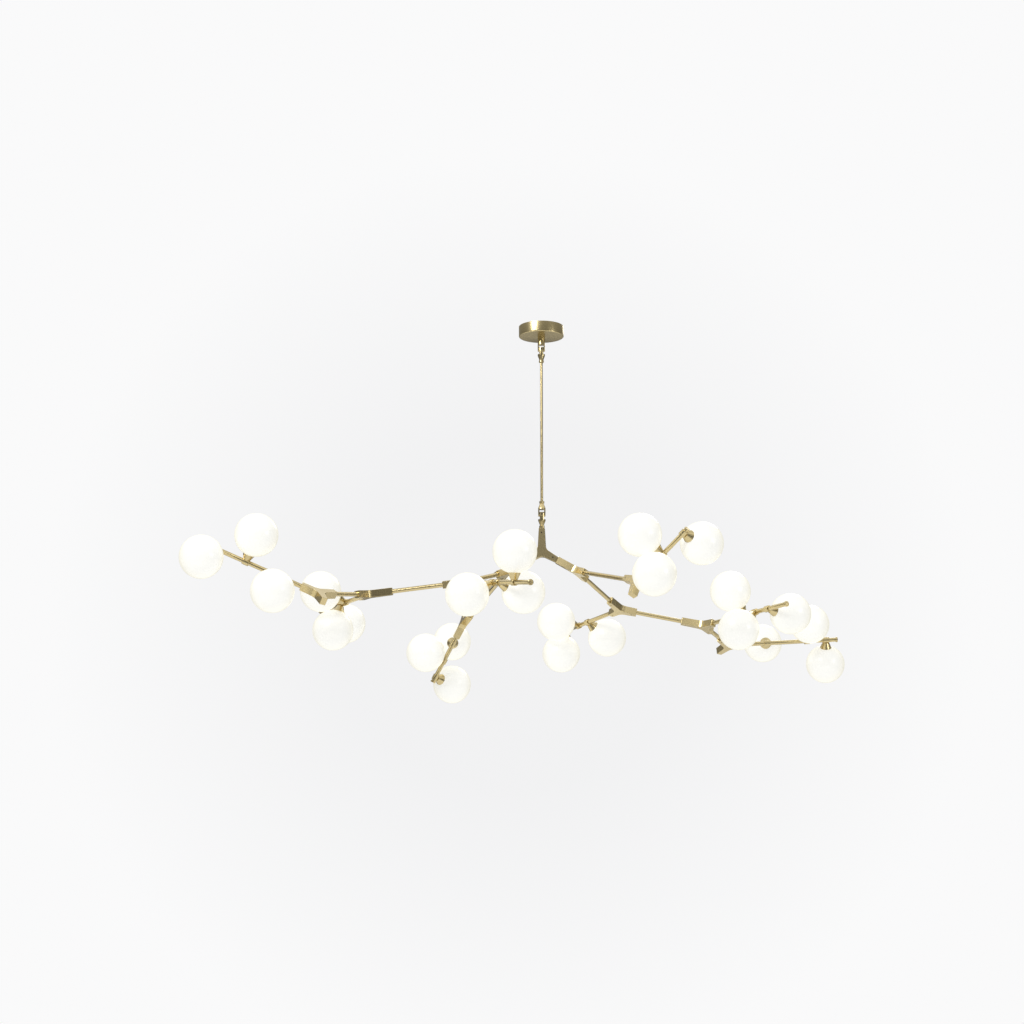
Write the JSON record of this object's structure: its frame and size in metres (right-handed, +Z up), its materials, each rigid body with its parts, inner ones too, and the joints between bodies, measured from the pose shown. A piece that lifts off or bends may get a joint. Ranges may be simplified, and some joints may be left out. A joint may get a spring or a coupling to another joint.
{
  "type": "branching globe chandelier",
  "caption": "Branching brass ceiling lamp with flat three-way hubs, straight rods and opal glass globes on a jointed drop stem.",
  "frame": {"origin": "centre of the canopy's face on the ceiling", "axes": "+Z up; the drop stem runs along -Z; +X to the right and +Y away when seen from the front"},
  "size_m": [1.9553, 1.1026, 1.1078],
  "materials": {
    "brass": "satin brushed brass",
    "steel": "plain steel",
    "opal_glass": "opal white glass",
    "white_plastic": "white porcelain and plastic"
  },
  "bodies": {
    "ceiling_part": {"ceiling_bracket": "steel", "terminal_block": "white_plastic", "canopy": "brass", "canopy_nipple": "steel", "canopy_nuts": "steel", "upper_fork": "brass"},
    "upper_cross": {"upper_knuckle": "steel", "upper_pins": "steel"},
    "stem": {"stem_top_fork": "brass", "stem_tube": "brass", "stem_bottom_fork": "brass"},
    "lower_cross": {"lower_knuckle": "steel", "lower_pins": "steel"},
    "tree": {"hub_fork": "brass", "centre_hub": "brass", "right_hub_1": "brass", "right_hub_2": "brass", "right_hub_3": "brass", "right_hub_4": "brass", "front_right_hub": "brass", "left_hub_1": "brass", "left_hub_2": "brass", "left_hub_3": "brass", "left_hub_4": "brass", "rear_left_hub": "brass", "link_rods": "brass", "set_screws": "steel"},
    "globe_rod_1": {"arm_rod_1": "brass", "fitters_1": "brass", "globes_1": "opal_glass", "lamps_1": "white_plastic"},
    "globe_rod_2": {"arm_rod_2": "brass", "fitters_2": "brass", "globes_2": "opal_glass", "lamps_2": "white_plastic"},
    "globe_rod_3": {"arm_rod_3": "brass", "fitters_3": "brass", "globes_3": "opal_glass", "lamps_3": "white_plastic"},
    "globe_rod_4": {"arm_rod_4": "brass", "fitters_4": "brass", "globes_4": "opal_glass", "lamps_4": "white_plastic"},
    "globe_rod_5": {"arm_rod_5": "brass", "fitters_5": "brass", "globes_5": "opal_glass", "lamps_5": "white_plastic"},
    "globe_rod_6": {"arm_rod_6": "brass", "fitters_6": "brass", "globes_6": "opal_glass", "lamps_6": "white_plastic"},
    "globe_rod_7": {"arm_rod_7": "brass", "fitters_7": "brass", "globes_7": "opal_glass", "lamps_7": "white_plastic"},
    "globe_rod_8": {"arm_rod_8": "brass", "fitters_8": "brass", "globes_8": "opal_glass", "lamps_8": "white_plastic"}
  },
  "joints": [
    {"name": "upper_swing_x", "type": "hinge", "parent": "ceiling_part", "child": "upper_cross", "pos_m": [0, 0, -0.072], "axis": [1, 0, 0], "range_deg": [-25, 25]},
    {"name": "upper_swing_y", "type": "hinge", "parent": "upper_cross", "child": "stem", "pos_m": [0, 0, -0.072], "axis": [0, 1, 0], "range_deg": [-25, 25]},
    {"name": "lower_swing_x", "type": "hinge", "parent": "stem", "child": "lower_cross", "pos_m": [0, 0, -0.58], "axis": [1, 0, 0], "range_deg": [-25, 25]},
    {"name": "lower_swing_y", "type": "hinge", "parent": "lower_cross", "child": "tree", "pos_m": [0, 0, -0.58], "axis": [0, 1, 0], "range_deg": [-25, 25]},
    {"name": "globe_rod_1_turn", "type": "hinge", "parent": "tree", "child": "globe_rod_1", "pos_m": [-0.669, -0.36055, -0.845], "axis": [-0.9153, -0.0502, 0.3995], "range_deg": [-180, 180]},
    {"name": "globe_rod_2_turn", "type": "hinge", "parent": "tree", "child": "globe_rod_2", "pos_m": [-0.52288, -0.12593, -0.84355], "axis": [-0.4453, 0.8952, -0.0149], "range_deg": [-180, 180]},
    {"name": "globe_rod_3_turn", "type": "hinge", "parent": "tree", "child": "globe_rod_3", "pos_m": [-0.26686, 0.39259, -0.90753], "axis": [-0.4632, 0.1272, -0.8771], "range_deg": [-180, 180]},
    {"name": "globe_rod_4_turn", "type": "hinge", "parent": "tree", "child": "globe_rod_4", "pos_m": [-0.21109, -0.23516, -0.81746], "axis": [0.4623, -0.8787, -0.1189], "range_deg": [-180, 180]},
    {"name": "globe_rod_5_turn", "type": "hinge", "parent": "tree", "child": "globe_rod_5", "pos_m": [0.2176, 0.26357, -0.84357], "axis": [-0.4888, 0.8657, -0.108], "range_deg": [-180, 180]},
    {"name": "globe_rod_6_turn", "type": "hinge", "parent": "tree", "child": "globe_rod_6", "pos_m": [0.28748, -0.39806, -0.79946], "axis": [0.6444, -0.4262, 0.6349], "range_deg": [-180, 180]},
    {"name": "globe_rod_7_turn", "type": "hinge", "parent": "tree", "child": "globe_rod_7", "pos_m": [0.5245, 0.16019, -0.88627], "axis": [0.4767, -0.8776, 0.05], "range_deg": [-180, 180]},
    {"name": "globe_rod_8_turn", "type": "hinge", "parent": "tree", "child": "globe_rod_8", "pos_m": [0.64418, 0.35905, -0.93104], "axis": [0.9985, 0.013, 0.0534], "range_deg": [-180, 180]}
  ]
}
